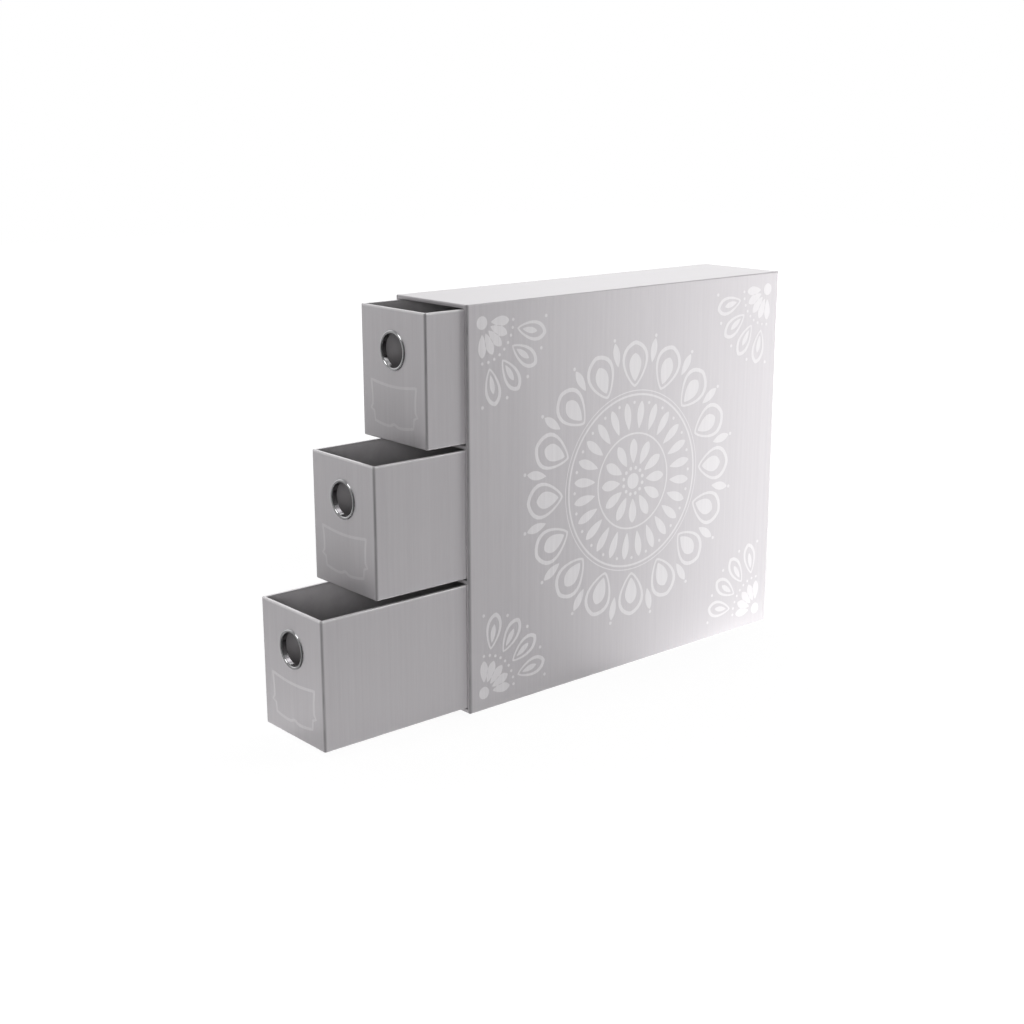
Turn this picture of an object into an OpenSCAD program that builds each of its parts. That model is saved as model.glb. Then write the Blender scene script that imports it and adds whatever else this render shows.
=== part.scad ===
// Trading card drawer box: a tall, narrow case of greyboard with three card drawers, one above
// another, that slide out of its open front. Case and drawers are rigid boxes: boards glued edge
// to edge, covered outside with a brushed silver paper and lined inside with a charcoal one.
// Each drawer front has a chromed finger ring, closed behind the board over a washer.
// The origin is the middle of the case's underside. X runs across, the drawers open towards -Y,
// and Z is up. All sizes are in millimetres.

/* [Case] */
// Width of the case, side to side
case_w = 84; // [78:1:110]
// Depth of the case, front edge to back
case_d = 342; // [200:1:420]
// Height of the case
case_h = 312; // [300:1:360]
// Thickness of the case's greyboard
case_board = 2.5; // [2:0.1:3]
// Thickness of the covering and lining papers
paper = 0.25; // [0.2:0.05:0.35]
// How far the silver paper is turned in behind the case's front edges
turn_in = 12; // [6:1:20]

/* [Drawers] */
// Number of drawers, one above another
drawer_count = 3; // [3:1:3]
// Thickness of the drawers' greyboard
drawer_board = 2; // [1.5:0.1:2.5]
// Free space beside a drawer, on each side
side_gap = 0.5; // [0.3:0.1:1]
// Free space under a drawer
under_gap = 1.5; // [0.3:0.1:2]
// Free space over a drawer
over_gap = 0.3; // [0.3:0.1:2]
// Free space behind a closed drawer
back_gap = 1; // [0.5:0.5:4]
// How far the bottom drawer is pulled out at rest
bottom_out = 130; // [0:1:180]
// How far the middle drawer is pulled out at rest
middle_out = 82; // [0:1:180]
// How far the top drawer is pulled out at rest
top_out = 35; // [0:1:180]

/* [Finger rings] */
// Outer diameter of the ring's front flange
ring_d = 30; // [26:0.5:34]
// Clear diameter of the finger hole
ring_hole_d = 25; // [20:0.5:26]
// Depth of the ring's centre under the drawer's top rim
ring_drop = 30.5; // [22:0.5:50]
// Wall of the barrel that goes through the drawer front
barrel_wall = 0.5; // [0.4:0.1:0.8]
// Clearance of the barrel in its hole
barrel_gap = 0.1; // [0.05:0.05:0.3]
// Thickness of the washer inside the drawer
washer_t = 0.5; // [0.4:0.1:1]
// Thickness of the lip rolled over the washer
lip_t = 0.4; // [0.3:0.1:0.8]

/* [Hidden] */
$fn = 96;
silver = [0.70, 0.69, 0.70];
charcoal = [0.30, 0.29, 0.30];
greyboard = [0.62, 0.60, 0.56];
chrome = [0.85, 0.85, 0.86];

BOTTOM = 0;
MIDDLE = 1;
TOP = 2;
DRAWERS = ["bottom", "middle", "top"];
drawer_out = [bottom_out, middle_out, top_out];
SHELVES = ["lower", "upper"];

// Case: a wall is a board with covering paper outside and lining inside.
wall = case_board + 2 * paper;
front_y = -case_d / 2;
back_y = case_d / 2;
bay_w = case_w - 2 * wall;
bay_h = (case_h - (drawer_count + 1) * wall) / drawer_count;
bay_pitch = bay_h + wall;

// Drawer, in its own frame: the front's outer face is at y = 0, its underside at z = 0.
drawer_w = bay_w - 2 * side_gap;
drawer_h = bay_h - under_gap - over_gap;
drawer_l = case_d - wall - back_gap;
drawer_wall = drawer_board + 2 * paper;
cavity_w = drawer_w - 2 * drawer_wall;
cavity_l = drawer_l - 2 * drawer_wall;

// Finger ring
hole_r = ring_hole_d / 2;
barrel_r = hole_r + barrel_wall;
seat_r = barrel_r + barrel_gap;
flange_r = ring_d / 2;
bead_r = (flange_r - hole_r) / 2;
washer_r = flange_r + 0.5;
lip_r = flange_r - 1;
overrun = 1;

CASE_NODES = ["case_left_board", "case_right_board", "case_top_board", "case_bottom_board",
    "case_back_board", "case_wrap", "case_base_sheet", "case_lining"];
SHELF_PARTS = ["board", "edge_strip", "lining"];
DRAWER_PARTS = ["front_board", "back_board", "left_board", "right_board", "bottom_board", "wrap",
    "lining", "finger_ring", "ring_washer"];

// A block between two corners.
module block(low, high) {
    translate(low) cube(high - low);
}

// A block as wide as w, centred on X, from y0 to y1 and z0 to z1.
module slab(w, y0, y1, z0, z1) {
    block([-w / 2, y0, z0], [w / 2, y1, z1]);
}

// ---- Case boards ------------------------------------------------------------------------------

// The sides run the full height and depth, and the other boards stand between them.
module case_side_board(side) {
    outer = case_w / 2 - paper;
    inner = outer - case_board;
    color(greyboard)
        block([side > 0 ? inner : -outer, front_y + paper, paper],
              [side > 0 ? outer : -inner, back_y - paper, case_h - paper]);
}

module case_flat_board(z) {
    color(greyboard)
        slab(case_w - 2 * (paper + case_board), front_y + paper, back_y - paper, z, z + case_board);
}

module case_back_board() {
    color(greyboard)
        slab(case_w - 2 * (paper + case_board), back_y - paper - case_board, back_y - paper,
             paper + case_board, case_h - paper - case_board);
}

// ---- Case papers ------------------------------------------------------------------------------

// The silver sheet covers the sides, top and back, and is turned in round the front edges.
module case_wrap() {
    color(silver)
        difference() {
            slab(case_w, front_y, back_y, paper, case_h);
            slab(case_w - 2 * paper, front_y + turn_in, back_y - paper, -overrun, case_h - paper);
            difference() {
                slab(case_w - 2 * paper, front_y + paper, front_y + turn_in + overrun,
                     -overrun, case_h - paper);
                slab(bay_w + 2 * paper, front_y, front_y + turn_in, wall - paper,
                     case_h - wall + paper);
            }
            slab(bay_w, front_y - overrun, front_y + turn_in + overrun, wall, case_h - wall);
        }
}

// The underside has its own sheet, which hides the ends of the wrap.
module case_base_sheet() {
    color(silver) slab(case_w, front_y, back_y, 0, paper);
}

// The charcoal lining covers the boards from the turned-in edge to the back.
module case_lining() {
    color(charcoal)
        difference() {
            slab(bay_w + 2 * paper, front_y + turn_in, back_y - wall + paper, wall - paper,
                 case_h - wall + paper);
            slab(bay_w, front_y + turn_in - overrun, back_y - wall, wall, case_h - wall);
        }
}

// ---- Shelves ----------------------------------------------------------------------------------

// Height of a shelf's underside: shelf 0 stands on the lower bay.
function shelf_z(i) = wall + bay_h + i * bay_pitch;

module shelf_board(i) {
    color(greyboard)
        slab(bay_w, front_y + paper, back_y - wall, shelf_z(i) + paper, shelf_z(i) + wall - paper);
}

// A folded silver strip covers the shelf's front edge.
module shelf_edge_strip(i) {
    color(silver)
        difference() {
            slab(bay_w, front_y, front_y + turn_in, shelf_z(i), shelf_z(i) + wall);
            slab(bay_w + 2 * overrun, front_y + paper, front_y + turn_in + overrun,
                 shelf_z(i) + paper, shelf_z(i) + wall - paper);
        }
}

// One charcoal sheet on the shelf's upper face and one on its underside.
module shelf_lining(i) {
    for (z = [shelf_z(i), shelf_z(i) + wall - paper])
        color(charcoal) slab(bay_w, front_y + turn_in, back_y - wall, z, z + paper);
}

// ---- Drawers ----------------------------------------------------------------------------------

// Puts a drawer's own frame where drawer i stands at rest.
module at_drawer(i) {
    translate([0, front_y - drawer_out[i], wall + under_gap + i * bay_pitch]) children();
}

// A round bar along Y at the finger ring's centre.
module ring_bar(r, y0, y1) {
    translate([0, y0, drawer_h - ring_drop]) rotate([-90, 0, 0]) cylinder(r = r, h = y1 - y0);
}

// The front and back boards are full width, and the front one is punched for the ring.
module drawer_front_board(i) {
    color(greyboard)
        at_drawer(i)
            difference() {
                slab(drawer_w - 2 * paper, paper, paper + drawer_board, paper, drawer_h - paper);
                ring_bar(seat_r, -overrun, drawer_wall + overrun);
            }
}

module drawer_back_board(i) {
    color(greyboard)
        at_drawer(i)
            slab(drawer_w - 2 * paper, drawer_l - paper - drawer_board, drawer_l - paper, paper,
                 drawer_h - paper);
}

module drawer_side_board(i, side) {
    outer = drawer_w / 2 - paper;
    inner = outer - drawer_board;
    color(greyboard)
        at_drawer(i)
            block([side > 0 ? inner : -outer, paper + drawer_board, paper],
                  [side > 0 ? outer : -inner, drawer_l - paper - drawer_board, drawer_h - paper]);
}

module drawer_bottom_board(i) {
    color(greyboard)
        at_drawer(i)
            slab(cavity_w + 2 * paper, paper + drawer_board, drawer_l - paper - drawer_board, paper,
                 paper + drawer_board);
}

// The space inside the lining, open at the top.
module drawer_cavity() {
    slab(cavity_w, drawer_wall, drawer_wall + cavity_l, drawer_wall, drawer_h + overrun);
}

// The silver paper covers the outside and folds over the rim.
module drawer_wrap(i) {
    color(silver)
        at_drawer(i)
            difference() {
                slab(drawer_w, 0, drawer_l, 0, drawer_h);
                slab(drawer_w - 2 * paper, paper, drawer_l - paper, paper, drawer_h - paper);
                drawer_cavity();
                ring_bar(seat_r, -overrun, drawer_wall + overrun);
            }
}

// The charcoal lining reaches up to the folded rim.
module drawer_lining(i) {
    color(charcoal)
        at_drawer(i)
            difference() {
                slab(cavity_w + 2 * paper, drawer_wall - paper, drawer_l - drawer_wall + paper,
                     drawer_wall - paper, drawer_h - paper);
                drawer_cavity();
                ring_bar(seat_r, -overrun, drawer_wall + overrun);
            }
}

// ---- Finger rings -----------------------------------------------------------------------------

// Profile of the ring: the radius along X and the distance in front of the drawer along Y.
module ring_profile() {
    intersection() {
        translate([hole_r + bead_r, 0]) circle(r = bead_r);
        translate([hole_r, 0]) square([2 * bead_r, bead_r + overrun]);
    }
    translate([hole_r, -drawer_wall - washer_t])
        square([barrel_wall, drawer_wall + washer_t]);
    translate([hole_r, -drawer_wall - washer_t - lip_t]) square([lip_r - hole_r, lip_t]);
}

// A domed flange in front, a barrel through the board and a lip rolled over the washer.
module finger_ring(i) {
    color(chrome)
        at_drawer(i)
            translate([0, 0, drawer_h - ring_drop])
                rotate([90, 0, 0]) rotate_extrude() ring_profile();
}

module ring_washer(i) {
    color(chrome)
        at_drawer(i)
            difference() {
                ring_bar(washer_r, drawer_wall, drawer_wall + washer_t);
                ring_bar(seat_r, drawer_wall - overrun, drawer_wall + washer_t + overrun);
            }
}

// ---- Assembly ---------------------------------------------------------------------------------

case_side_board(-1);  // case_left_board
case_side_board(1);  // case_right_board
case_flat_board(case_h - paper - case_board);  // case_top_board
case_flat_board(paper);  // case_bottom_board
case_back_board();
case_wrap();
case_base_sheet();
case_lining();

for (i = [0 : len(SHELVES) - 1]) {
    shelf = str(SHELVES[i], "_shelf_");
    shelf_board(i);
    shelf_edge_strip(i);
    shelf_lining(i);
}

for (i = [BOTTOM : TOP]) {
    drawer = str(DRAWERS[i], "_drawer_");
    drawer_front_board(i);
    drawer_back_board(i);
    drawer_side_board(i, -1);
    drawer_side_board(i, 1);
    drawer_bottom_board(i);
    drawer_wrap(i);
    drawer_lining(i);
    finger_ring(i);
    ring_washer(i);
}
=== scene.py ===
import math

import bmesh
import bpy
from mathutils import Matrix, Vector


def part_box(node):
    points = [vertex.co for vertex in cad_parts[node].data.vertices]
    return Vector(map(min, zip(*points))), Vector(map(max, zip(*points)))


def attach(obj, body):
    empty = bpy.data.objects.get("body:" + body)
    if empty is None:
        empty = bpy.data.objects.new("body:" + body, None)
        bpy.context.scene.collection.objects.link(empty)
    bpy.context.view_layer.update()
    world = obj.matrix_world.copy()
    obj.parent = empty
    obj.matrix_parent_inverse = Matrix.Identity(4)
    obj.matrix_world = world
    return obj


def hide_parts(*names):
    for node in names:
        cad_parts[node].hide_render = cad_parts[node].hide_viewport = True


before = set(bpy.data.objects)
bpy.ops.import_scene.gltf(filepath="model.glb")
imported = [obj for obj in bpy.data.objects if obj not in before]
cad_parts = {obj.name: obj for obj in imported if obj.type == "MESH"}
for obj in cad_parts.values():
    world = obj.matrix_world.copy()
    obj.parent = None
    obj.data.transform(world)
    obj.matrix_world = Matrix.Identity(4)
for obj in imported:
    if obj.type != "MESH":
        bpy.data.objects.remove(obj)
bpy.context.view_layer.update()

# A trading card drawer box: a tall, narrow case of greyboard with three card drawers one above
# another, all covered with a brushed silver paper and lined with a charcoal one. Sizes are in
# metres: X runs across the box, the drawers open towards -Y, and Z is up.

scene = bpy.context.scene
scene.view_settings.view_transform = "Standard"


# ---- Camera -----------------------------------------------------------------------------------
# The photograph looks at the box's front and right-hand side from a little above, with a longish
# lens. The camera's place and turn were fitted to the straight edges of the case and drawers.

# The lens is in millimetres, and the turns are in degrees.
SENSOR_WIDTH = 36
FOCAL_LENGTH = 54.51
CAMERA_PLACE = (0.8981, -0.8659, 0.4529)
CAMERA_TURNS = (75.117, 0.054, 49.254)


def set_out(name, data):
    """Sets a new object out in the scene."""
    thing = bpy.data.objects.new(name, data)
    scene.collection.objects.link(thing)
    return thing


lens = bpy.data.cameras.new("photograph_lens")
lens.sensor_width = SENSOR_WIDTH
lens.lens = FOCAL_LENGTH
camera = set_out("camera", lens)
camera.location = CAMERA_PLACE
camera.rotation_euler = [math.radians(degrees) for degrees in CAMERA_TURNS]
scene.camera = camera


# ---- Studio -----------------------------------------------------------------------------------
# The box stands on a lit white table with white cards round it: a bright one on the right, a sweep
# behind and a pale wall on the left, under a dim ceiling. A strip lamp stands behind the box and
# two softboxes in front. The silver paper takes much of its tone from the cards that it mirrors.

# Each card's direction in degrees, counted from +X towards +Y, and its brightness.
CARDS = ((-165, 0.9), (-150, 0.5), (-125, 0.25), (-95, 0.35), (-60, 0.1), (30, 0.0), (42, 0.05),
         (51, 2.2), (60, 1.6), (75, 0.8), (90, 0.7), (110, 1.6), (136, 1.6), (160, 0.9))
BRIGHTEST_CARD = max(level for degrees, level in CARDS)
LEFT_WALL = 1.0
CEILING = 0.3
# The cards give way to the ceiling between these heights of a direction one long.
CARD_TOPS = (0.5, 0.9)
BACKDROP_WHITE = 1.0

NUMBER = "NodeSocketFloat"
PLACE = "NodeSocketVector"


def add(tree, kind, inputs=None, **settings):
    """Adds a node. An input that is given a socket is linked, and any other is set."""
    node = tree.nodes.new(kind)
    for name, value in settings.items():
        setattr(node, name, value)
    for name, value in (inputs or {}).items():
        if isinstance(value, bpy.types.NodeSocket):
            tree.links.new(value, node.inputs[name])
        else:
            node.inputs[name].default_value = value
    return node


def maths(tree, operation, *values, clamp=False):
    """Works out one number from one, two or three others."""
    node = add(
        tree, "ShaderNodeMath", dict(enumerate(values)), operation=operation, use_clamp=clamp)
    return node.outputs[0]


def vectors(tree, operation, *values):
    """Works out one vector from one or two others."""
    node = add(tree, "ShaderNodeVectorMath", dict(enumerate(values)), operation=operation)
    return node.outputs["Vector"]


def parts(tree, vector):
    """The X, Y and Z of a vector."""
    return add(tree, "ShaderNodeSeparateXYZ", {0: vector}).outputs


def mixed(tree, factor, low, high):
    """A number that runs from low to high as the factor runs from 0 to 1."""
    return add(tree, "ShaderNodeMix", {0: factor, 2: low, 3: high}).outputs[0]


def spread(tree, value, from_low, from_high, low=0.0, high=1.0, curve="LINEAR"):
    """Spreads the part of a value between two levels over a new range."""
    node = add(tree, "ShaderNodeMapRange", {
        "Value": value, "From Min": from_low, "From Max": from_high, "To Min": low,
        "To Max": high}, interpolation_type=curve)
    return node.outputs["Result"]


def new_group(name, kind, takes, gives):
    """Starts a node group. Its inputs and outputs are given by their names and kinds."""
    tree = bpy.data.node_groups.new(name, kind)
    for way, sockets in (("INPUT", takes), ("OUTPUT", gives)):
        for label, socket_kind in sockets.items():
            tree.interface.new_socket(name=label, in_out=way, socket_type=socket_kind)
    given = tree.nodes.new("NodeGroupInput").outputs
    result = tree.nodes.new("NodeGroupOutput").inputs
    return tree, given, result


def new_finish(name):
    """Starts a material with an empty tree."""
    finish = bpy.data.materials.new(name)
    finish.use_nodes = True
    finish.node_tree.nodes.clear()
    return finish, finish.node_tree


def object_place(tree):
    """The place of a point on a piece."""
    return add(tree, "ShaderNodeTexCoord").outputs["Object"]


cards, given, result = new_group(
    "white_cards", "ShaderNodeTree", {"Direction": PLACE}, {"Brightness": NUMBER})
way = parts(cards, vectors(cards, "NORMALIZE", given["Direction"]))
round_box = maths(cards, "ARCTAN2", way["Y"], way["X"])
lit = add(cards, "ShaderNodeFloatCurve", {
    "Value": maths(cards, "MULTIPLY_ADD", round_box, 1 / (2 * math.pi), 0.5)})
levels = lit.mapping.curves[0].points
for end in (0, 1):
    levels[end].location = (end, LEFT_WALL / BRIGHTEST_CARD)
for degrees, level in CARDS:
    levels.new((degrees + 180) / 360, level / BRIGHTEST_CARD)
for point in levels:
    point.handle_type = "VECTOR"
lit.mapping.update()
on_cards = maths(cards, "MULTIPLY", lit.outputs["Value"], BRIGHTEST_CARD)
upwards = spread(cards, way["Z"], *CARD_TOPS, curve="SMOOTHSTEP")
cards.links.new(mixed(cards, upwards, on_cards, CEILING), result["Brightness"])

studio = bpy.data.worlds.new("studio")
scene.world = studio
studio.use_nodes = True
room = studio.node_tree
room.nodes.clear()
cards_in_room = add(room, "ShaderNodeGroup", {
    "Direction": add(room, "ShaderNodeTexCoord").outputs["Generated"]}, node_tree=cards)
room_light = add(room, "ShaderNodeBackground", {
    "Color": (1, 1, 1, 1),
    "Strength": mixed(room, add(room, "ShaderNodeLightPath").outputs["Is Camera Ray"],
                      cards_in_room.outputs["Brightness"], BACKDROP_WHITE)})
add(room, "ShaderNodeOutputWorld", {"Surface": room_light.outputs[0]})

TABLE_HALF = 4
TABLE_COLOUR = (0.86, 0.86, 0.86, 1)
TABLE_WHITE = 1.1
# Near the box the camera sees some of the table's paint, with the box's shadow on it, and farther
# off only the table's own white. Distances are from the middle of the box's foot.
OWN_WHITE_NEAR = 0.8
SHADOW_FADES = (0.4, 1.2)
# A mirror sees in each spot of the table the card that lies beyond it, as seen from the middle of
# the foot. Across RIGHT_SIDE that viewpoint moves to the camera's mirror image in the box's side,
# from which this is the way to the foot. Near the box the cards then blur towards one level.
MIRRORED_CAMERA_TO_FOOT = (0.81, 0.87, 0.0)
RIGHT_SIDE = (-0.05, 0.12)
NEAR_LEVEL = 0.3
NEAR_SHARE = 0.3
NEAR_FADES = (0.3, 1.0)
# Lamps under the table light the box from below. Their light ends between these distances.
TABLE_GLOW = 2.0
GLOW_FADES = (0.5, 0.7)

table = bpy.data.meshes.new("table")
table.from_pydata(
    [(x * TABLE_HALF, y * TABLE_HALF, 0) for x, y in ((-1, -1), (1, -1), (1, 1), (-1, 1))], [],
    [(0, 1, 2, 3)])
table_top = set_out("table", table)
table_paint, tree = new_finish("white_table")
table_paint.cycles.emission_sampling = "NONE"
rays = add(tree, "ShaderNodeLightPath").outputs
mirrored = maths(tree, "ADD", rays["Is Glossy Ray"], rays["Is Transmission Ray"], clamp=True)
spot = object_place(tree)
far_off = add(tree, "ShaderNodeVectorMath", {0: spot}, operation="LENGTH").outputs["Value"]
on_right = spread(tree, parts(tree, spot)["X"], *RIGHT_SIDE, curve="SMOOTHSTEP")
beyond_spot = vectors(
    tree, "ADD", spot, vectors(tree, "MULTIPLY", MIRRORED_CAMERA_TO_FOOT, on_right))
cards_in_table = add(tree, "ShaderNodeGroup", {"Direction": beyond_spot}, node_tree=cards)
near = spread(tree, far_off, *NEAR_FADES, NEAR_SHARE, 0.0)
seen_cards = mixed(tree, maths(tree, "MULTIPLY", near, on_right),
                   cards_in_table.outputs["Brightness"], NEAR_LEVEL)
shown = maths(tree, "MULTIPLY_ADD", mirrored, seen_cards,
              maths(tree, "MULTIPLY", rays["Is Camera Ray"], TABLE_WHITE))
own_white = spread(tree, far_off, *SHADOW_FADES, OWN_WHITE_NEAR, 1.0)
own_light = maths(tree, "MULTIPLY_ADD", rays["Is Camera Ray"], own_white, mirrored, clamp=True)
paint = add(tree, "ShaderNodeBsdfDiffuse", {"Color": TABLE_COLOUR})
seen_glow = add(tree, "ShaderNodeEmission", {"Strength": shown})
seen = add(tree, "ShaderNodeMixShader", {
    0: own_light, 1: paint.outputs[0], 2: seen_glow.outputs[0]})
lamps_under = spread(tree, far_off, *GLOW_FADES, TABLE_GLOW, 0.0)
up_glow = add(tree, "ShaderNodeEmission", {
    "Strength": maths(tree, "MULTIPLY", rays["Is Diffuse Ray"], lamps_under)})
both = add(tree, "ShaderNodeAddShader", {0: seen.outputs[0], 1: up_glow.outputs[0]})
add(tree, "ShaderNodeOutputMaterial", {"Surface": both.outputs[0]})
table.materials.append(table_paint)


def softbox(name, place, width, height, watts, aim=(0, -0.04, 0.16)):
    """Hangs a soft lamp that faces the box."""
    light = bpy.data.lights.new(name, "AREA")
    light.shape = "RECTANGLE"
    light.size = width
    light.size_y = height
    light.energy = watts
    lamp = set_out(name, light)
    lamp.location = place
    lamp.rotation_euler = (Vector(aim) - Vector(place)).to_track_quat("-Z", "Y").to_euler()
    lamp.visible_camera = False
    return lamp


softbox("strip_behind", (0.02, 1.50, 0.17), width=0.9, height=0.3, watts=16, aim=(0, 0, 0.17))
softbox("softbox_front", (0, -1.16, 1.5), width=0.7, height=0.7, watts=5)
fill = softbox("softbox_fill", (1.09, -1.04, 0.43), width=0.5, height=0.5, watts=10)
fill.visible_glossy = False


# ---- Greyboard --------------------------------------------------------------------------------
# The rigid skeleton: case, shelves and drawers are flat greyboards, guillotined and glued edge to
# edge, with their edges pressed round. The papers cover them all. The drawers' fronts are punched
# for the finger rings.

BOARD_EASE = 0.0008
EASE_STEPS = 3
# The case's boards stand this high, so that they are clear of the sheet under the case.
CASE_BOARDS_FROM = 0.0005
RING_SEAT = 0.0131
SEAT_CORNERS = 96
PUNCH_DEPTH = 0.02
# Faces that meet at a smaller angle than this, in degrees, are shaded as one surface.
BOARD_SMOOTH = 40
BOARD_DARK = (0.23, 0.21, 0.18, 1)
BOARD_PALE = (0.37, 0.35, 0.31, 1)
SHELVES = ("lower", "upper")
DRAWERS = ("bottom", "middle", "top")


def put(name, mesh, body, *nodes, slot=None, smooth=None):
    """Makes a piece of a mesh, shaded smooth up to an angle. It rides on its body and stands
    for its solids."""
    piece = set_out(name, mesh)
    if smooth:
        mesh.shade_smooth()
        mesh.set_sharp_from_angle(angle=math.radians(smooth))
        even = piece.modifiers.new("even_flats", "WEIGHTED_NORMAL")
        even.keep_sharp = True
    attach(piece, body)
    if nodes:
        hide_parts(*nodes)
    return piece


def eased_block(name, low, high, ease, material):
    """A flat board between two corners, with its edges pressed round."""
    mesh = bpy.data.meshes.new(name)
    shape = bmesh.new()
    bmesh.ops.create_cube(shape, size=1)
    for corner in shape.verts:
        corner.co = [(a + b) / 2 + c * (b - a) for a, b, c in zip(low, high, corner.co)]
    bmesh.ops.bevel(shape, geom=shape.edges[:], offset=ease, segments=EASE_STEPS, profile=0.5,
                    affect="EDGES")
    shape.to_mesh(mesh)
    shape.free()
    mesh.materials.append(material)
    return mesh


def worked(blank):
    """Gives the mesh that a blank's modifiers leave, and clears the blank away."""
    graph = bpy.context.evaluated_depsgraph_get()
    mesh = bpy.data.meshes.new_from_object(blank.evaluated_get(graph))
    bpy.data.objects.remove(blank)
    return mesh


def applied(mesh, kind, **settings):
    """Gives a mesh as one modifier leaves it."""
    blank = set_out("blank", mesh)
    step = blank.modifiers.new("step", kind)
    for name, value in settings.items():
        setattr(step, name, value)
    return worked(blank)


def punched(mesh, centre, radius):
    """Punches a round hole along Y through the front of a mesh."""
    shape = bmesh.new()
    bmesh.ops.create_cone(shape, cap_ends=True, segments=SEAT_CORNERS, radius1=radius,
                          radius2=radius, depth=PUNCH_DEPTH)
    for corner in shape.verts:
        x, y, z = corner.co
        corner.co = (centre.x + x, centre.y + z, centre.z - y)
    die_mesh = bpy.data.meshes.new("die")
    shape.to_mesh(die_mesh)
    shape.free()
    die = set_out("die", die_mesh)
    cut = applied(mesh, "BOOLEAN", object=die, operation="DIFFERENCE", solver="EXACT")
    bpy.data.objects.remove(die)
    return cut


def ring_centre(drawer):
    """The middle of a drawer's finger ring."""
    low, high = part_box(f"{drawer}_drawer_finger_ring")
    return (low + high) / 2


def noise(tree, where, scale, detail, roughness=0.5, distortion=0.0):
    """Cloudy noise."""
    node = add(tree, "ShaderNodeTexNoise", {
        "Vector": where, "Scale": scale, "Detail": detail, "Roughness": roughness,
        "Distortion": distortion})
    return node.outputs[0]


def between(tree, factor, low, high):
    """A colour that runs from low to high as the factor runs from 0 to 1."""
    return add(tree, "ShaderNodeMix", {0: factor, 6: low, 7: high}, data_type="RGBA").outputs[2]


def relief(tree, height, strength, depth):
    """The slope of a surface with a fine relief."""
    node = add(tree, "ShaderNodeBump", {
        "Height": height, "Strength": strength, "Distance": depth})
    return node.outputs["Normal"]


def skin(tree, sockets):
    """Gives a material its surface."""
    shader = add(tree, "ShaderNodeBsdfPrincipled", sockets)
    add(tree, "ShaderNodeOutputMaterial", {"Surface": shader.outputs["BSDF"]})


# The mottle mixes single fibres with clouds. The clouds' noise has this share of the fibres'
# scale, which makes it much coarser.
CLOUD_SCALE = 0.035
CLOUD_SHARE = 0.55
FIBRE_SHARE = 0.45

fibres, given, result = new_group(
    "pressed_fibres", "ShaderNodeTree", {"Fibre size": NUMBER},
    {"Mottle": NUMBER, "Relief": NUMBER})
spot = object_place(fibres)
per_fibre = maths(fibres, "DIVIDE", 1.0, given["Fibre size"])
cloud = noise(
    fibres, spot, scale=maths(fibres, "MULTIPLY", per_fibre, CLOUD_SCALE), detail=3.0)
grit = noise(fibres, spot, scale=per_fibre, detail=2.0, roughness=0.7, distortion=1.2)
mottle = maths(fibres, "MULTIPLY_ADD", grit, FIBRE_SHARE,
               maths(fibres, "MULTIPLY", cloud, CLOUD_SHARE))
fibres.links.new(mottle, result["Mottle"])
fibres.links.new(grit, result["Relief"])

greyboard, tree = new_finish("greyboard")
pulp = add(tree, "ShaderNodeGroup", {"Fibre size": 0.0005}, node_tree=fibres).outputs
skin(tree, {
    "Base Color": between(
        tree, spread(tree, pulp["Mottle"], 0.35, 0.65), BOARD_DARK, BOARD_PALE),
    "Roughness": 0.92,
    "Specular IOR Level": 0.3,
    "Normal": relief(tree, pulp["Relief"], strength=0.35, depth=0.0001)})

case_boards = [f"case_{side}_board" for side in ("left", "right", "top", "bottom", "back")]
case_boards += [f"{shelf}_shelf_board" for shelf in SHELVES]
for node in case_boards:
    low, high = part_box(node)
    low.z = max(low.z, CASE_BOARDS_FROM)
    board = eased_block(node, low, high, BOARD_EASE, greyboard)
    put(f"{node}_eased", board, "case", node, slot="greyboard", smooth=BOARD_SMOOTH)

for drawer in DRAWERS:
    for side in ("front", "back", "left", "right", "bottom"):
        node = f"{drawer}_drawer_{side}_board"
        board = eased_block(node, *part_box(node), BOARD_EASE, greyboard)
        if side == "front":
            board = punched(board, ring_centre(drawer), RING_SEAT)
        put(f"{node}_eased", board, f"{drawer}_drawer", node, slot="greyboard",
            smooth=BOARD_SMOOTH)


# ---- Silver covers ----------------------------------------------------------------------------
# The case and each drawer are wrapped in one sheet of brushed, metallised paper, laminated matt
# and turned in at the case's front edges and over the drawers' rims. A dark line of painted shade
# runs along the upright folds in front, hands rub every fold duller, and the drawers' rims are
# painted paler as a highlight.

PAPER = 0.00025
PAPER_SMOOTH = 35
# Width and length of the brush's lines. They run upright on the sides and ends, and along X on
# the flats. A face is an end or a flat when it looks at least this squarely along Y or Z.
FINE_LINES = (0.00022, 0.03)
BROAD_LINES = (0.0028, 0.35)
SQUARELY = 0.7
# The ends take their lines this far off in the noise from those of the sides.
ENDS_APART = 7.3

brush, given, result = new_group(
    "brush_lines", "ShaderNodeTree", {"Line width": NUMBER, "Line length": NUMBER},
    {"Lines": NUMBER})
spot = parts(brush, object_place(brush))
facing = parts(
    brush, vectors(brush, "ABSOLUTE", add(brush, "ShaderNodeNewGeometry").outputs["Normal"]))
on_ends = maths(brush, "GREATER_THAN", facing["Y"], SQUARELY)
on_flats = maths(brush, "GREATER_THAN", facing["Z"], SQUARELY)
across = mixed(brush, on_ends, spot["Y"], spot["X"])
along = mixed(brush, on_flats, spot["Z"], spot["X"])
on_sheet = add(brush, "ShaderNodeCombineXYZ", {
    "X": maths(brush, "DIVIDE", across, given["Line width"]),
    "Y": maths(brush, "DIVIDE", along, given["Line length"]),
    "Z": maths(brush, "MULTIPLY", on_ends, ENDS_APART)})
lines = noise(brush, on_sheet.outputs[0], scale=1.0, detail=2.0, roughness=0.55)
brush.links.new(lines, result["Lines"])
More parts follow.
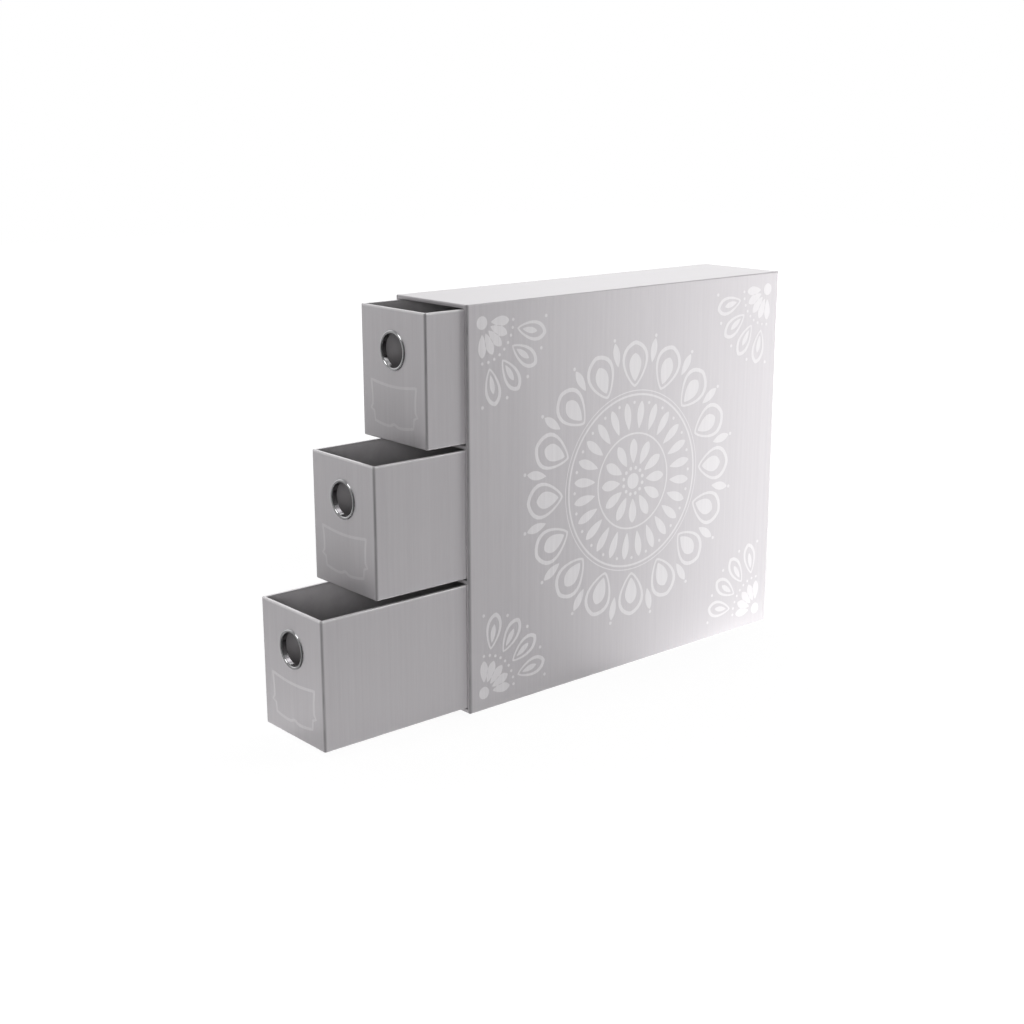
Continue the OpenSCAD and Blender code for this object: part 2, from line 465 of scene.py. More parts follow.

# Each mark ends this many reaches from its edge: the painted shade at the front folds, the painted
# highlight at the top edge, and the rubbing, which goes less far or farther with a patchy noise
# between two levels.
FOLD_SHADE_ENDS = 1.45
RIM_HIGHLIGHT_ENDS = 1.3
RUBBING_ENDS = (0.15, 1.35)
PATCH_SCALE = 90.0
PATCH_LEVELS = (0.38, 0.68)

# Besides the rubbing, this group gives two masks of painted light: painted shade along the upright
# folds in front, and a painted highlight towards the top edge.
rubbing_and_painted_light, given, result = new_group(
    "rubbed_edges", "ShaderNodeTree",
    {"Low corner": PLACE, "High corner": PLACE, "Reach": NUMBER},
    {"Rub": NUMBER, "Painted fold shade": NUMBER, "Painted rim highlight": NUMBER})
spot = object_place(rubbing_and_painted_light)
from_low = vectors(rubbing_and_painted_light, "SUBTRACT", spot, given["Low corner"])
to_high = vectors(rubbing_and_painted_light, "SUBTRACT", given["High corner"], spot)
to_face = parts(rubbing_and_painted_light, vectors(rubbing_and_painted_light, "MINIMUM", from_low, to_high))
nearer = maths(rubbing_and_painted_light, "MINIMUM", to_face["X"], to_face["Y"])
farther = maths(rubbing_and_painted_light, "MAXIMUM", to_face["X"], to_face["Y"])
to_edge = maths(rubbing_and_painted_light, "MAXIMUM", nearer, maths(rubbing_and_painted_light, "MINIMUM", farther, to_face["Z"]))
patchy = noise(rubbing_and_painted_light, spot, scale=PATCH_SCALE, detail=4.0)
reach = maths(rubbing_and_painted_light, "MULTIPLY", given["Reach"],
              spread(rubbing_and_painted_light, patchy, *PATCH_LEVELS, *RUBBING_ENDS))
rub = maths(rubbing_and_painted_light, "SUBTRACT", 1.0, maths(rubbing_and_painted_light, "DIVIDE", to_edge, reach), clamp=True)
rubbing_and_painted_light.links.new(rub, result["Rub"])
# Painted shade: a dark line along the upright folds in front, standing in for the shade on the
# rounded folds.
to_fold = maths(rubbing_and_painted_light, "MAXIMUM", to_face["X"], parts(rubbing_and_painted_light, from_low)["Y"])
painted_fold_shade = maths(rubbing_and_painted_light, "SUBTRACT", FOLD_SHADE_ENDS,
                maths(rubbing_and_painted_light, "DIVIDE", to_fold, given["Reach"]), clamp=True)
rubbing_and_painted_light.links.new(painted_fold_shade, result["Painted fold shade"])
# Painted highlight: the top edge is made paler, standing in for the light that the drawers' rims
# catch.
painted_rim_highlight = maths(rubbing_and_painted_light, "SUBTRACT", RIM_HIGHLIGHT_ENDS,
               maths(rubbing_and_painted_light, "DIVIDE", parts(rubbing_and_painted_light, to_high)["Z"], given["Reach"]), clamp=True)
rubbing_and_painted_light.links.new(painted_rim_highlight, result["Painted rim highlight"])

# Shares of the fine and the broad lines in the tone, and the levels that the two together span.
FINE_SHARE = 0.6
BROAD_SHARE = 0.4
LINE_LEVELS = (0.3, 0.7)
SILVER_DARK = (0.520, 0.500, 0.518, 1)
SILVER_PALE = (0.585, 0.566, 0.581, 1)
SILVER_METALLIC = 0.65
SILVER_ROUGHNESS = (0.30, 0.40)
RUBBED_DULLER = 0.15
# The colour of the painted highlight on the drawers' rims.
PAINTED_RIM_HIGHLIGHT = (0.82, 0.805, 0.815, 1)
# The colour of the painted shade along the front folds, and how much of it shows.
PAINTED_FOLD_SHADE = (0.20, 0.192, 0.198, 1)
FOLD_SHADE_SHARE = 0.8


def brushed(tree):
    """The brushed lines of the paper: fine and broad ones together, and the fine ones alone."""
    fine, broad = [
        add(tree, "ShaderNodeGroup", {"Line width": width, "Line length": length},
            node_tree=brush).outputs["Lines"]
        for width, length in (FINE_LINES, BROAD_LINES)]
    lines = maths(tree, "MULTIPLY_ADD", fine, FINE_SHARE,
                  maths(tree, "MULTIPLY", broad, BROAD_SHARE))
    return lines, fine


def silver_paper(name, low, high, reach, rim_highlight=0.0):
    """The covering paper, as it wears on a box between two corners, with a painted shade along the
    upright folds in front and a painted highlight on the top edge. reach is how far from an edge
    the rubbing and these painted marks go, and the last argument is how much paler the top edge is
    painted, as a highlight."""
    finish, tree = new_finish(name)
    lines, fine = brushed(tree)
    wear_and_painted_light = add(tree, "ShaderNodeGroup", {
        "Low corner": low, "High corner": high, "Reach": reach}, node_tree=rubbing_and_painted_light).outputs
    toned = between(tree, spread(tree, lines, *LINE_LEVELS), SILVER_DARK, SILVER_PALE)
    # Painted highlight: the top edge is made paler.
    if rim_highlight:
        toned = between(tree, maths(tree, "MULTIPLY", wear_and_painted_light["Painted rim highlight"], rim_highlight), toned,
                        PAINTED_RIM_HIGHLIGHT)
    # The base colour carries the painted shade along the upright folds in front.
    skin(tree, {
        "Base Color": between(tree, maths(tree, "MULTIPLY", wear_and_painted_light["Painted fold shade"], FOLD_SHADE_SHARE),
                              toned, PAINTED_FOLD_SHADE),
        "Metallic": maths(tree, "MULTIPLY_ADD", wear_and_painted_light["Rub"], -RUBBED_DULLER, SILVER_METALLIC),
        "Roughness": maths(tree, "MULTIPLY_ADD", wear_and_painted_light["Rub"], RUBBED_DULLER,
                           spread(tree, lines, *LINE_LEVELS, *SILVER_ROUGHNESS)),
        "Normal": relief(tree, fine, strength=0.25, depth=0.00002)})
    return finish


# A fold is drawn in FOLD_STEPS, and a corner seen along the wrap's axis in CORNER_STEPS.
FOLD_STEPS = 5
CORNER_STEPS = 4
TIGHTEST_CORNER = 0.0003


def bent(corners):
    """A line that turns square corners. Each is its two distances and its radius."""
    line = []
    for i, (out, along, radius) in enumerate(corners):
        here = Vector((out, along))
        if not radius:
            line.append(here)
            continue
        back = (Vector(corners[i - 1][:2]) - here).normalized() * radius
        on = (Vector(corners[i + 1][:2]) - here).normalized() * radius
        for step in range(FOLD_STEPS + 1):
            turn = math.pi / 2 * step / FOLD_STEPS
            line.append(here + back * (1 - math.sin(turn)) + on * (1 - math.cos(turn)))
    return line


def paper_of(name, shape, look, material, thickness=PAPER):
    """Turns a shape into paper, laid behind its visible side. The face farthest out shows
    towards look."""
    bmesh.ops.recalc_face_normals(shape, faces=shape.faces[:])
    look = Vector(look)
    reach = Vector([abs(part) for part in look])
    outermost = max(shape.faces, key=lambda face: face.calc_center_median().dot(reach))
    if outermost.normal.dot(look) < 0:
        bmesh.ops.reverse_faces(shape, faces=shape.faces[:])
    sheet = bpy.data.meshes.new(name)
    shape.to_mesh(sheet)
    shape.free()
    sheet.materials.append(material)
    return applied(sheet, "SOLIDIFY", thickness=thickness, offset=-1, use_even_offset=True)


def wrap(name, low, high, axis, corners, plan_radius, look, material, thickness=PAPER):
    """Paper wrapped round a box. corners gives how far in from the box's sides the paper
    runs, and where along the axis. The last end is closed."""
    shape = bmesh.new()
    first, second = [i for i in range(3) if i != axis]
    middle = (low + high) / 2
    half = (high - low) / 2
    last = None
    for inset, along in bent(corners):
        radius = max(plan_radius - inset, TIGHTEST_CORNER)
        loop = []
        for quarter, (u, v) in enumerate(((1, 1), (-1, 1), (-1, -1), (1, -1))):
            for step in range(CORNER_STEPS + 1):
                turn = math.pi / 2 * (quarter + step / CORNER_STEPS)
                place = Vector((0, 0, 0))
                place[axis] = along
                place[first] = (middle[first] + u * (half[first] - inset - radius)
                                + radius * math.cos(turn))
                place[second] = (middle[second] + v * (half[second] - inset - radius)
                                 + radius * math.sin(turn))
                loop.append(shape.verts.new(place))
        if last:
            for i in range(len(loop)):
                shape.faces.new((last[i - 1], last[i], loop[i], loop[i - 1]))
        last = loop
    shape.faces.new(last)
    return paper_of(name, shape, look, material, thickness)


CASE_WALL = 0.003
TURN_IN = 0.012
CASE_FOLD = 0.0010
MOUTH_FOLD = 0.0006
CASE_REACH = 0.0018
# A closed side is a rim this wide round one flat face.
CLOSING_RIM = 0.004
# The cover lies this much further in on the right, so that the ink on it stays in the box's size.
INK_PROUD = 0.00005

low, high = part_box("case_wrap")
high.x -= INK_PROUD
case_silver = silver_paper("silver_paper_case", low, high, CASE_REACH)
cover = wrap(
    "case_cover", low, high, 1,
    [(CASE_WALL, low.y + TURN_IN, 0), (CASE_WALL, low.y, MOUTH_FOLD), (0, low.y, CASE_FOLD),
     (0, high.y, CASE_FOLD), (CLOSING_RIM, high.y, 0)],
    CASE_FOLD, (1, 0, 0), case_silver)
put("case_cover", cover, "case", "case_wrap", slot="silver_paper", smooth=PAPER_SMOOTH)

BASE_INSET = 0.0025
BASE_EASE = 0.0001

low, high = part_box("case_base_sheet")
inset = Vector((BASE_INSET, BASE_INSET, 0))
base = eased_block("base", low + inset, high - inset, BASE_EASE, case_silver)
put("case_base_cover", base, "case", "case_base_sheet", slot="silver_paper",
    smooth=BOARD_SMOOTH)

STRIP_FOLD = 0.0007

for shelf in SHELVES:
    node = f"{shelf}_shelf_edge_strip"
    low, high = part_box(node)
    shape = bmesh.new()
    last = None
    for y, z in bent([(high.y, low.z, 0), (low.y, low.z, STRIP_FOLD),
                      (low.y, high.z, STRIP_FOLD), (high.y, high.z, 0)]):
        pair = [shape.verts.new((x, y, z)) for x in (low.x, high.x)]
        if last:
            shape.faces.new((last[0], last[1], pair[1], pair[0]))
        last = pair
    strip = paper_of(node, shape, (0, 0, 1), case_silver)
    put(f"{shelf}_shelf_folded_strip", strip, "case", node, slot="silver_paper",
        smooth=PAPER_SMOOTH)

DRAWER_WALL = 0.0025
RIM_TURN_IN = 0.010
RIM_FOLD = 0.0006
RIM_INNER_FOLD = 0.0004
UNDER_FOLD = 0.0010
DRAWER_CORNER = 0.0016
DRAWER_REACH = 0.0014
# How much paler the drawers' rims are painted, as a highlight.
RIM_HIGHLIGHT_SHARE = 0.7

for drawer in DRAWERS:
    node = f"{drawer}_drawer_wrap"
    low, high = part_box(node)
    drawer_silver = silver_paper(
        f"silver_paper_{drawer}_drawer", low, high, DRAWER_REACH, RIM_HIGHLIGHT_SHARE)
    cover = wrap(
        node, low, high, 2,
        [(DRAWER_WALL, high.z - RIM_TURN_IN, 0), (DRAWER_WALL, high.z, RIM_INNER_FOLD),
         (0, high.z, RIM_FOLD), (0, low.z, UNDER_FOLD), (CLOSING_RIM, low.z, 0)],
        DRAWER_CORNER, (1, 0, 0), drawer_silver)
    cover = punched(cover, ring_centre(drawer), RING_SEAT)
    put(f"{drawer}_drawer_cover", cover, f"{drawer}_drawer", node, slot="silver_paper",
        smooth=PAPER_SMOOTH)


# ---- Charcoal linings -------------------------------------------------------------------------
# Uncoated charcoal paper, glued into the bays, on both sides of the shelves and into the drawers.
# Its edges lap over the turned-in silver paper, a little short of the front edges and the rims.

LINING = 0.00015
LAP = 0.002
LINING_FOLD = 0.0004
SHELF_MARGIN = 0.0002
SHEET_EASE = 0.00004
BELOW_RIM = 0.00085
INNER_CORNER = 0.0007
CHARCOAL_DARK = (0.300, 0.288, 0.297, 1)
CHARCOAL_PALE = (0.370, 0.356, 0.366, 1)
CHARCOAL_ROUGHNESS = (0.78, 0.9)

charcoal, tree = new_finish("charcoal_paper")
pulp = add(tree, "ShaderNodeGroup", {"Fibre size": 0.0003}, node_tree=fibres).outputs
mottle = pulp["Mottle"]
skin(tree, {
    "Base Color": between(tree, spread(tree, mottle, 0.3, 0.7), CHARCOAL_DARK, CHARCOAL_PALE),
    "Roughness": spread(tree, mottle, 0.3, 0.7, *CHARCOAL_ROUGHNESS),
    "Specular IOR Level": 0.35,
    "Normal": relief(tree, pulp["Relief"], strength=0.3, depth=0.00004)})

low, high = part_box("case_lining")
mouth = Vector((PAPER + LINING, 0, PAPER + LINING))
back = high.y - PAPER - LINING
lining = wrap(
    "case_lining", low + mouth, high - mouth, 1,
    [(0, low.y - LAP, 0), (0, back, LINING_FOLD), (CLOSING_RIM, back, 0)], LINING_FOLD, (-1, 0, 0),
    charcoal, LINING)
put("case_bay_lining", lining, "case", "case_lining", slot="charcoal_paper", smooth=PAPER_SMOOTH)

for shelf in SHELVES:
    node = f"{shelf}_shelf_lining"
    low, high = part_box(node)
    for side, z in (("under", low.z - LINING), ("upper", high.z)):
        sheet = eased_block(
            node, (low.x + SHELF_MARGIN, low.y - LAP, z),
            (high.x - SHELF_MARGIN, high.y - SHELF_MARGIN, z + LINING), SHEET_EASE, charcoal)
        put(f"{shelf}_shelf_{side}_lining", sheet, "case", node, slot="charcoal_paper",
            smooth=BOARD_SMOOTH)

for drawer in DRAWERS:
    node = f"{drawer}_drawer_lining"
    low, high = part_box(node)
    inset = PAPER + LINING
    floor = low.z + inset
    lining = wrap(
        node, low, high, 2,
        [(inset, high.z - BELOW_RIM, 0), (inset, floor, LINING_FOLD),
         (inset + CLOSING_RIM, floor, 0)],
        INNER_CORNER, (-1, 0, 0), charcoal, LINING)
    lining = punched(lining, ring_centre(drawer), RING_SEAT)
    put(f"{drawer}_drawer_paper_lining", lining, f"{drawer}_drawer", node,
        slot="charcoal_paper", smooth=PAPER_SMOOTH)


# ---- Finger rings -----------------------------------------------------------------------------
# A chromed eyelet in each drawer front: a domed flange lies on the silver paper, its barrel goes
# through the board, and its lip is rolled over a steel washer on the inside.

RING_BORE = 0.0125
RING_CORNERS = 128
RING_SMOOTH = 40
# The dome's radius, the barrel's wall, half the lip's thickness, where its round end has its
# middle, and the radius of its roll. Distances across are counted out from the bore.
DOME = 0.00124
BARREL = 0.0005
LIP_HALF = 0.0002
LIP_END = 0.0013
LIP_ROLL = 0.0003
WASHER = 0.0005
WASHER_BORE = 0.0006
WASHER_EDGE = 0.0030
WASHER_EASE = 0.0001
CHROME_DARK = (0.66, 0.66, 0.67, 1)
CHROME_PALE = (0.74, 0.74, 0.75, 1)
CHROME_ROUGHNESS = (0.07, 0.18)
STEEL_DARK = (0.40, 0.40, 0.40, 1)
STEEL_PALE = (0.56, 0.56, 0.55, 1)
STEEL_ROUGHNESS = (0.26, 0.42)
# The washer's rolling marks lie level: their noise is coarse along X and Y and fine along Z.
ROLLING_MARKS = (400.0, 400.0, 5200.0)
SHAPE = "NodeSocketGeometry"

chrome, tree = new_finish("ring_chrome")
spot = object_place(tree)
smudge = noise(tree, spot, scale=160.0, detail=3.0)
hairs = noise(tree, spot, scale=2600.0, detail=2.0, distortion=2.0)
skin(tree, {
    "Base Color": between(tree, spread(tree, smudge, 0.35, 0.65), CHROME_DARK, CHROME_PALE),
    "Metallic": 1.0,
    "Roughness": spread(tree, smudge, 0.35, 0.7, *CHROME_ROUGHNESS),
    "Normal": relief(tree, hairs, strength=0.12, depth=0.00001)})

steel, tree = new_finish("washer_steel")
grain = noise(tree, vectors(tree, "MULTIPLY", object_place(tree), ROLLING_MARKS), scale=1.0,
              detail=3.0)
skin(tree, {
    "Base Color": between(tree, spread(tree, grain, 0.3, 0.7), STEEL_DARK, STEEL_PALE),
    "Metallic": 1.0,
    "Roughness": spread(tree, grain, 0.3, 0.7, *STEEL_ROUGHNESS),
    "Normal": relief(tree, grain, strength=0.25, depth=0.00002)})


def moved(tree, geometry, **how):
    """Geometry moved, turned or scaled."""
    return add(tree, "GeometryNodeTransform", {"Geometry": geometry, **how}).outputs[0]


def hand_out(tree, geometry, material, socket):
    """Ends a tree with plain geometry in one material."""
    real = add(tree, "GeometryNodeRealizeInstances", {"Geometry": geometry}).outputs[0]
    painted = add(tree, "GeometryNodeSetMaterial", {"Geometry": real, "Material": material})
    tree.links.new(painted.outputs[0], socket)


turned, given, result = new_group(
    "turned_round", "GeometryNodeTree",
    {"Profile": SHAPE, "Bore": NUMBER, "Centre": PLACE, "Metal": "NodeSocketMaterial"},
    {"Piece": SHAPE})
circle = add(turned, "GeometryNodeCurvePrimitiveCircle", {
    "Resolution": RING_CORNERS, "Radius": given["Bore"]})
body = add(turned, "GeometryNodeCurveToMesh", {
    "Curve": circle.outputs["Curve"], "Profile Curve": given["Profile"]})
stood = moved(turned, body.outputs[0], Rotation=(-math.pi / 2, 0, 0), Translation=given["Centre"])
hand_out(turned, stood, given["Metal"], result["Piece"])


def outline(name, points):
    """A closed line of straight stretches through points on a plane."""
    line = bpy.data.curves.new(name, "CURVE")
    line.dimensions = "3D"
    run = line.splines.new("POLY")
    run.points.add(len(points) - 1)
    for point, place in zip(run.points, points):
        point.co = (*place, 0, 1)
    run.use_cyclic_u = True
    return line


def baked(source, tree, **sizes):
    """Runs a Geometry Nodes tree on a source and gives its result as a plain mesh."""
    blank = set_out("blank", source)
    run = blank.modifiers.new("run", "NODES")
    run.node_group = tree
    for item in tree.interface.items_tree:
        if item.in_out == "INPUT" and item.name.replace(" ", "_") in sizes:
            run[item.identifier] = sizes[item.name.replace(" ", "_")]
    return worked(blank)


def arc(centre, radius, start, end, steps):
    """Points on an arc, by its start and end in degrees."""
    turns = [math.radians(start + (end - start) * i / steps) for i in range(steps + 1)]
    return [(centre[0] + radius * math.cos(turn), centre[1] + radius * math.sin(turn))
            for turn in turns]


# Both profiles are drawn as distances out from the bore and forward from the drawer's face.
behind_washer = -DRAWER_WALL - WASHER
ring_profile = outline("ring_profile", [
    *arc((DOME, 0), DOME, 180, 0, steps=20), (BARREL, 0), (BARREL, behind_washer),
    *arc((LIP_END, behind_washer - LIP_HALF), LIP_HALF, 90, -90, steps=6),
    *arc((LIP_ROLL, behind_washer - 2 * LIP_HALF + LIP_ROLL), LIP_ROLL, -90, -180, steps=4)])
washer_corners = (
    (WASHER_BORE + WASHER_EASE, -DRAWER_WALL - WASHER_EASE, 180),
    (WASHER_EDGE - WASHER_EASE, -DRAWER_WALL - WASHER_EASE, 90),
    (WASHER_EDGE - WASHER_EASE, behind_washer + WASHER_EASE, 0),
    (WASHER_BORE + WASHER_EASE, behind_washer + WASHER_EASE, -90))
washer_profile = outline("washer_profile", [
    point for out, forward, turn in washer_corners
    for point in arc((out, forward), WASHER_EASE, turn, turn - 90, steps=3)])

for drawer in DRAWERS:
    centre = ring_centre(drawer)
    centre.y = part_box(f"{drawer}_drawer_wrap")[0].y
    ring = baked(ring_profile, turned, Bore=RING_BORE, Centre=centre, Metal=chrome)
    put(f"{drawer}_drawer_eyelet", ring, f"{drawer}_drawer", f"{drawer}_drawer_finger_ring",
        slot="ring_chrome", smooth=RING_SMOOTH)
    washer = baked(washer_profile, turned, Bore=RING_BORE, Centre=centre, Metal=steel)
    put(f"{drawer}_drawer_steel_washer", washer, f"{drawer}_drawer",
        f"{drawer}_drawer_ring_washer", slot="washer_steel", smooth=RING_SMOOTH)


# ---- Printed ornament -------------------------------------------------------------------------
# A paler satin ink is screen printed on the case's right-hand side: a round centrepiece of petals
# and leaves, with a quarter rosette towards each corner, in the way of old bookbindings.

MEDALLION = 0.118
CORNER_PIECE = 0.066
CORNER_INSET = 0.014
PETAL_CORNERS = 28
# A disc smaller than this, where its ornament's radius is 1, is a dot and gets fewer corners.
LARGEST_DOT = 0.1
DOT_CORNERS = 20
CIRCLE_CORNERS = 160
# Points nearer to each other than this are joined where the ink's front and back meet.
SEAM = 0.000002
INK_DARK = (0.630, 0.613, 0.626, 1)
INK_PALE = (0.710, 0.695, 0.705, 1)
INK_METALLIC = 0.60
INK_ROUGHNESS = (0.36, 0.44)


def satin_ink(name, low, high):
    """A paler ink that lets the brushed lines show through, between two colours."""
    finish, tree = new_finish(name)
    lines, fine = brushed(tree)
    skin(tree, {
        "Base Color": between(tree, spread(tree, lines, *LINE_LEVELS), low, high),
        "Metallic": INK_METALLIC,
        "Roughness": spread(tree, lines, *LINE_LEVELS, *INK_ROUGHNESS),
        "Normal": relief(tree, fine, strength=0.15, depth=0.00002)})
    return finish


def combined(tree, **axes):
    """A vector of an X, a Y and a Z."""
    return add(tree, "ShaderNodeCombineXYZ", axes).outputs[0]


petal, given, result = new_group(
    "petal", "GeometryNodeTree",
    {"Length": NUMBER, "Width": NUMBER, "Point": NUMBER, "Fullness": NUMBER},
    {"Outline": SHAPE})
ring = add(petal, "GeometryNodeCurvePrimitiveCircle", {
    "Resolution": PETAL_CORNERS, "Radius": 1.0})
on_ring = parts(petal, add(petal, "GeometryNodeInputPosition").outputs[0])
height = maths(petal, "MULTIPLY", given["Length"],
               maths(petal, "MULTIPLY_ADD", on_ring["X"], -0.5, 0.5))
taper = maths(petal, "POWER", maths(petal, "ABSOLUTE", on_ring["Y"]), given["Point"])
belly = maths(petal, "SUBTRACT", 1.0, maths(petal, "MULTIPLY", on_ring["X"],
                                            given["Fullness"]))
side = maths(petal, "MULTIPLY", maths(petal, "MULTIPLY", on_ring["Y"], taper),
             maths(petal, "MULTIPLY", maths(petal, "MULTIPLY", given["Width"], 0.5), belly))
drawn = add(petal, "GeometryNodeSetPosition", {
    "Geometry": ring.outputs[0], "Position": combined(petal, X=side, Y=height)})
petal.links.new(drawn.outputs[0], result["Outline"])

motif_ring, given, result = new_group(
    "ring_of_motifs", "GeometryNodeTree",
    {"Motif": SHAPE, "Count": "NodeSocketInt", "Radius": NUMBER, "Start": NUMBER,
     "Sweep": NUMBER},
    {"Outlines": SHAPE})
share = maths(motif_ring, "DIVIDE", add(motif_ring, "GeometryNodeInputIndex").outputs[0],
              given["Count"])
turn = maths(motif_ring, "RADIANS",
             maths(motif_ring, "MULTIPLY_ADD", share, given["Sweep"], given["Start"]))
spots = add(motif_ring, "GeometryNodePoints", {
    "Count": given["Count"],
    "Position": combined(
        motif_ring,
        X=maths(motif_ring, "MULTIPLY", maths(motif_ring, "COSINE", turn), given["Radius"]),
        Y=maths(motif_ring, "MULTIPLY", maths(motif_ring, "SINE", turn), given["Radius"]))})
outwards = combined(motif_ring, Z=maths(motif_ring, "SUBTRACT", turn, math.pi / 2))
set_round = add(motif_ring, "GeometryNodeInstanceOnPoints", {
    "Points": spots.outputs[0], "Instance": given["Motif"], "Rotation": outwards})
motif_ring.links.new(
    add(motif_ring, "GeometryNodeRealizeInstances", {0: set_round.outputs[0]}).outputs[0],
    result["Outlines"])

print_tree, given, result = new_group(
    "panel_print", "GeometryNodeTree",
    {"Medallion": NUMBER, "Corner piece": NUMBER, "Half length": NUMBER,
     "Half height": NUMBER, "Ink": NUMBER, "Centre": PLACE, "Colour": "NodeSocketMaterial"},
    {"Print": SHAPE})


def disc(radius):
    """The outline of a round dot, or one edge of a ring."""
    corners = DOT_CORNERS if radius < LARGEST_DOT else CIRCLE_CORNERS
    return add(print_tree, "GeometryNodeCurvePrimitiveCircle", {
        "Resolution": corners, "Radius": radius}).outputs[0]


def leaf(length, width, point=0.5, fullness=0.3):
    """The outline of a petal or a leaf that grows along Y."""
    return add(print_tree, "GeometryNodeGroup", {
        "Length": length, "Width": width, "Point": point, "Fullness": fullness,
    }, node_tree=petal).outputs[0]


def round_of(motif, count, radius, start=0.0, sweep=360.0):
    """Motifs set round a circle. Angles are in degrees."""
    return add(print_tree, "GeometryNodeGroup", {
        "Motif": motif, "Count": count, "Radius": radius, "Start": start, "Sweep": sweep,
    }, node_tree=motif_ring).outputs[0]


def gathered(*shapes):
    """Puts shapes together."""
    node = print_tree.nodes.new("GeometryNodeJoinGeometry")
    for shape in shapes:
        print_tree.links.new(shape, node.inputs[0])
    return node.outputs[0]


# Both ornaments are drawn with a radius of about 1, and scaled where they are placed. Outlines
# inside one another are inked and left bare by turns.
medallion = gathered(
    disc(0.055),
    round_of(disc(0.013), 12, 0.092, 15.0),
    round_of(leaf(0.17, 0.070), 12, 0.125),
    disc(0.325), disc(0.337),
    round_of(leaf(0.19, 0.062, 0.6), 24, 0.362, 7.5),
    round_of(disc(0.011), 24, 0.545),
    disc(0.590), disc(0.604), disc(0.622), disc(0.629),
    round_of(leaf(0.315, 0.235, 0.35, 0.35), 16, 0.650),
    round_of(leaf(0.270, 0.190, 0.35, 0.35), 16, 0.668),
    round_of(leaf(0.190, 0.110, 0.45, 0.35), 16, 0.690),
    round_of(leaf(0.165, 0.060, 0.7, 0.2), 16, 0.815, 11.25),
    round_of(disc(0.012), 16, 1.000, 11.25),
)
corner_piece = gathered(
    disc(0.075),
    round_of(leaf(0.26, 0.11), 5, 0.13, 0.0, 112.5),
    round_of(disc(0.018), 9, 0.45, 0.0, 101.25),
    round_of(leaf(0.44, 0.22, 0.35, 0.35), 4, 0.52, 11.25, 90.0),
    round_of(leaf(0.36, 0.15, 0.35, 0.35), 4, 0.55, 11.25, 90.0),
    round_of(leaf(0.22, 0.07, 0.6, 0.2), 4, 0.60, 11.25, 90.0),
    round_of(disc(0.020), 5, 0.94, 0.0, 112.5),
)
placed = [moved(print_tree, medallion, Scale=combined(
    print_tree, X=given["Medallion"], Y=given["Medallion"], Z=1.0))]
for side_x in (1, -1):
    for side_y in (1, -1):
        at_corner = combined(
            print_tree, X=maths(print_tree, "MULTIPLY", given["Half length"], -side_x),
            Y=maths(print_tree, "MULTIPLY", given["Half height"], -side_y))
        scaled = combined(
            print_tree, X=maths(print_tree, "MULTIPLY", given["Corner piece"], side_x),
            Y=maths(print_tree, "MULTIPLY", given["Corner piece"], side_y), Z=1.0)
        placed.append(moved(print_tree, corner_piece, Translation=at_corner, Scale=scaled))
filled = add(print_tree, "GeometryNodeFillCurve", {0: gathered(*placed)}).outputs[0]
raised = add(print_tree, "GeometryNodeExtrudeMesh", {
    "Mesh": filled, "Offset Scale": given["Ink"], "Individual": False}).outputs[0]
under = add(print_tree, "GeometryNodeFlipFaces", {0: filled}).outputs[0]
layer = add(print_tree, "GeometryNodeMergeByDistance", {
    "Geometry": gathered(raised, under), "Distance": SEAM}).outputs[0]
hung = moved(print_tree, layer, Rotation=(math.pi / 2, 0, math.pi / 2),
             Translation=given["Centre"])
hand_out(print_tree, hung, given["Colour"], result["Print"])

ornament_ink = satin_ink("pale_ink", INK_DARK, INK_PALE)
low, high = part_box("case_wrap")
ornament = baked(
    bpy.data.meshes.new("print_blank"), print_tree, Medallion=MEDALLION,
    Corner_piece=CORNER_PIECE, Half_length=(high.y - low.y) / 2 - CORNER_INSET,
    Half_height=(high.z - low.z) / 2 - CORNER_INSET, Ink=INK_PROUD,
    Centre=(high.x - INK_PROUD, 0, (low.z + high.z) / 2), Colour=ornament_ink)
put("case_side_ornament", ornament, "case", slot="silver_paper")


# ---- Label frames -----------------------------------------------------------------------------
# A fainter coat of the ink draws a scrolled frame under each finger ring, where the owner can
# write what the drawer holds.

LINE_WIDTH = 0.0021
LINE_STEPS = 8
LABEL_DARK = (0.590, 0.571, 0.586, 1)
LABEL_PALE = (0.660, 0.643, 0.655, 1)
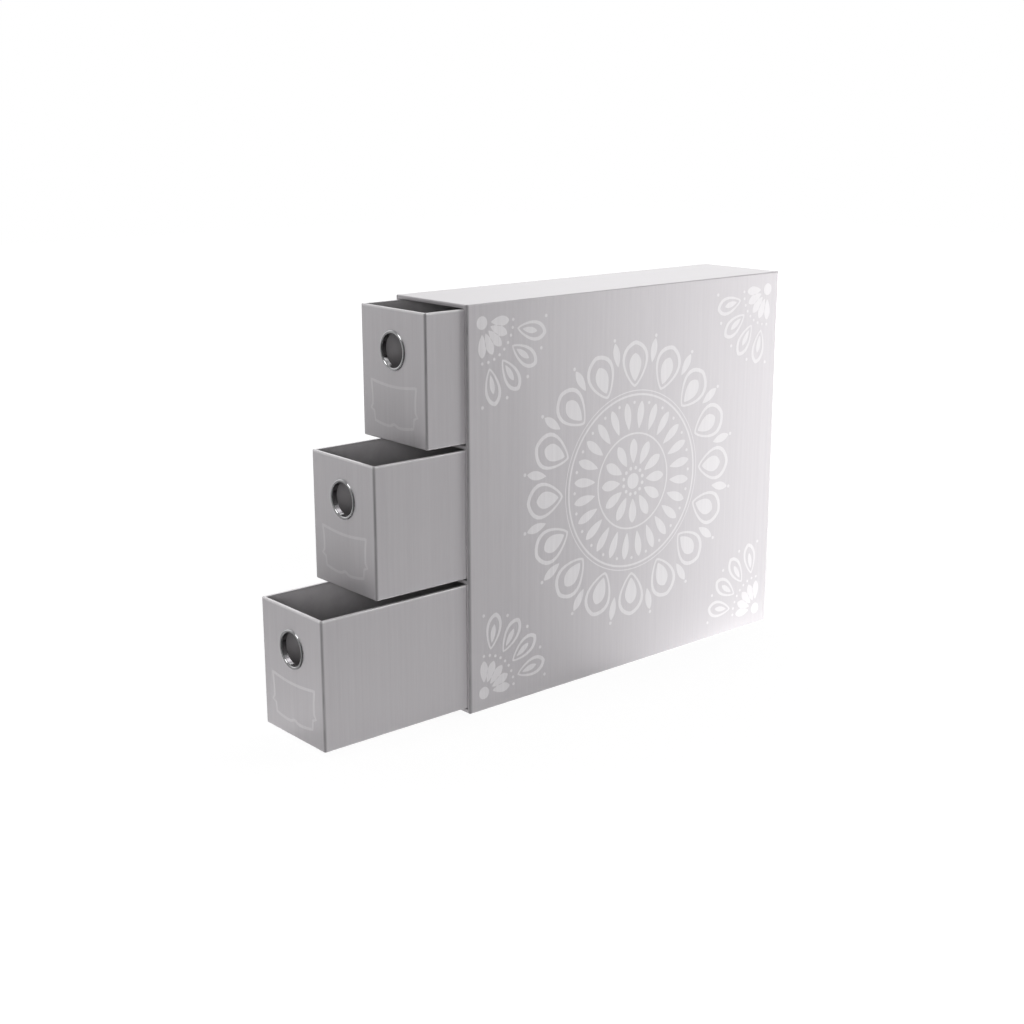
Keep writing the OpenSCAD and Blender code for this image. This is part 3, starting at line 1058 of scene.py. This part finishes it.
# The right half of the frame, from the middle of its bottom line round to the middle of its top
# line, as distances out from the drawer's middle and up from its rim. The line turns smoothly at
# AUTO and sharply at VECTOR.
FRAME_HALF = [
    (0, -0.0850, "AUTO"), (0.0050, -0.0866, "AUTO"), (0.0130, -0.0865, "AUTO"),
    (0.0232, -0.0848, "VECTOR"), (0.0240, -0.0778, "VECTOR"), (0.0282, -0.0760, "VECTOR"),
    (0.0258, -0.0728, "VECTOR"), (0.0260, -0.0635, "AUTO"), (0.0272, -0.0547, "VECTOR"),
    (0.0130, -0.0564, "AUTO"), (0, -0.0570, "AUTO")]

printed_line, given, result = new_group(
    "printed_line", "GeometryNodeTree",
    {"Path": SHAPE, "Line width": NUMBER, "Ink": NUMBER, "Centre": PLACE,
     "Colour": "NodeSocketMaterial"},
    {"Print": SHAPE})
nib = add(printed_line, "GeometryNodeCurvePrimitiveQuadrilateral", {
    "Width": given["Line width"], "Height": given["Ink"]})
upright = add(printed_line, "GeometryNodeSetCurveNormal", {"Curve": given["Path"]},
              mode="Z_UP")
drawn = add(printed_line, "GeometryNodeCurveToMesh", {
    "Curve": upright.outputs[0], "Profile Curve": nib.outputs[0]})
flat = add(printed_line, "GeometryNodeSetShadeSmooth", {
    "Geometry": drawn.outputs[0], "Shade Smooth": False})
hung = moved(printed_line, flat.outputs[0], Rotation=(math.pi / 2, 0, 0),
             Translation=given["Centre"])
hand_out(printed_line, hung, given["Colour"], result["Print"])

frame_path = bpy.data.curves.new("label_frame", "CURVE")
frame_path.dimensions = "3D"
run = frame_path.splines.new("BEZIER")
places = FRAME_HALF + [(-x, y, kind) for x, y, kind in reversed(FRAME_HALF[1:-1])]
run.bezier_points.add(len(places) - 1)
for point, (x, y, kind) in zip(run.bezier_points, places):
    point.co = (x, y, 0)
    point.handle_left_type = kind
    point.handle_right_type = kind
run.use_cyclic_u = True
run.resolution_u = LINE_STEPS

label_ink = satin_ink("faint_ink", LABEL_DARK, LABEL_PALE)
for drawer in DRAWERS:
    low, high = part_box(f"{drawer}_drawer_wrap")
    label = baked(
        frame_path, printed_line, Line_width=LINE_WIDTH, Ink=INK_PROUD,
        Centre=(0, low.y - INK_PROUD / 2, high.z), Colour=label_ink)
    put(f"{drawer}_drawer_label_frame", label, f"{drawer}_drawer", slot="silver_paper")
